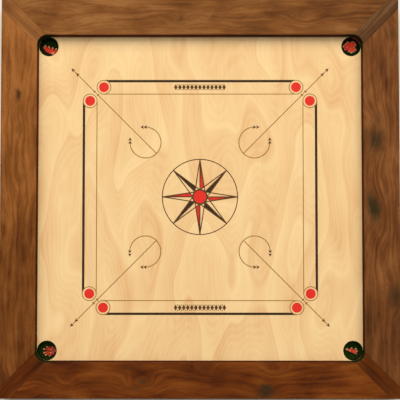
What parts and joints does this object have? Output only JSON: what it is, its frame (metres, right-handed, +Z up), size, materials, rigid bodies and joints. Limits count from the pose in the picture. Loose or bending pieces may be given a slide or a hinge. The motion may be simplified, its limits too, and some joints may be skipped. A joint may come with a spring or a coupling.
{
  "type": "carrom board",
  "caption": "Square carrom board: a pale ply playing surface with painted play lines, let into a hardwood frame with netted corner pockets.",
  "frame": {"origin": "on the ground, under the middle of the board", "axes": "+Z up out of the playing surface, +X towards the right rail and +Y towards the far rail; the board is square in plan"},
  "size_m": [0.899, 0.899, 0.051],
  "materials": {
    "playing_ply": "pale birch ply, printed lines, satin lacquer",
    "frame_wood": "rosewood, satin polish",
    "key_wood": "dark rosewood, satin polish",
    "tongue_ply": "bare ply",
    "batten_pine": "planed, unfinished",
    "ring_plastic": "moulded, matt",
    "net_yarn": "knitted cotton yarn",
    "knot_yarn": "cotton yarn with pale ends",
    "plate_steel": "zinc plated",
    "screw_steel": "zinc plated"
  },
  "bodies": {
    "root": {"playing_surface": "playing_ply", "rail_right": "frame_wood", "rail_far": "frame_wood", "rail_left": "frame_wood", "rail_near": "frame_wood", "corner_key_far_right": "key_wood", "corner_key_far_left": "key_wood", "corner_key_near_left": "key_wood", "corner_key_near_right": "key_wood", "tongue_far_right_a": "tongue_ply", "tongue_far_right_b": "tongue_ply", "tongue_far_left_a": "tongue_ply", "tongue_far_left_b": "tongue_ply", "tongue_near_left_a": "tongue_ply", "tongue_near_left_b": "tongue_ply", "tongue_near_right_a": "tongue_ply", "tongue_near_right_b": "tongue_ply", "batten_near": "batten_pine", "batten_far": "batten_pine", "batten_right": "batten_pine", "batten_left": "batten_pine", "pocket_ring_far_right": "ring_plastic", "pocket_ring_far_left": "ring_plastic", "pocket_ring_near_left": "ring_plastic", "pocket_ring_near_right": "ring_plastic", "pocket_net_far_right": "net_yarn", "pocket_net_far_left": "net_yarn", "pocket_net_near_left": "net_yarn", "pocket_net_near_right": "net_yarn", "net_knot_far_right": "knot_yarn", "net_knot_far_left": "knot_yarn", "net_knot_near_left": "knot_yarn", "net_knot_near_right": "knot_yarn", "corner_plate_far_right": "plate_steel", "corner_plate_far_left": "plate_steel", "corner_plate_near_left": "plate_steel", "corner_plate_near_right": "plate_steel", "plate_screw_far_right_1": "screw_steel", "plate_screw_far_right_2": "screw_steel", "plate_screw_far_right_3": "screw_steel", "plate_screw_far_left_1": "screw_steel", "plate_screw_far_left_2": "screw_steel", "plate_screw_far_left_3": "screw_steel", "plate_screw_near_left_1": "screw_steel", "plate_screw_near_left_2": "screw_steel", "plate_screw_near_left_3": "screw_steel", "plate_screw_near_right_1": "screw_steel", "plate_screw_near_right_2": "screw_steel", "plate_screw_near_right_3": "screw_steel", "ring_screw_far_right_1": "screw_steel", "ring_screw_far_right_2": "screw_steel", "ring_screw_far_left_1": "screw_steel", "ring_screw_far_left_2": "screw_steel", "ring_screw_near_left_1": "screw_steel", "ring_screw_near_left_2": "screw_steel", "ring_screw_near_right_1": "screw_steel", "ring_screw_near_right_2": "screw_steel"}
  },
  "joints": []
}
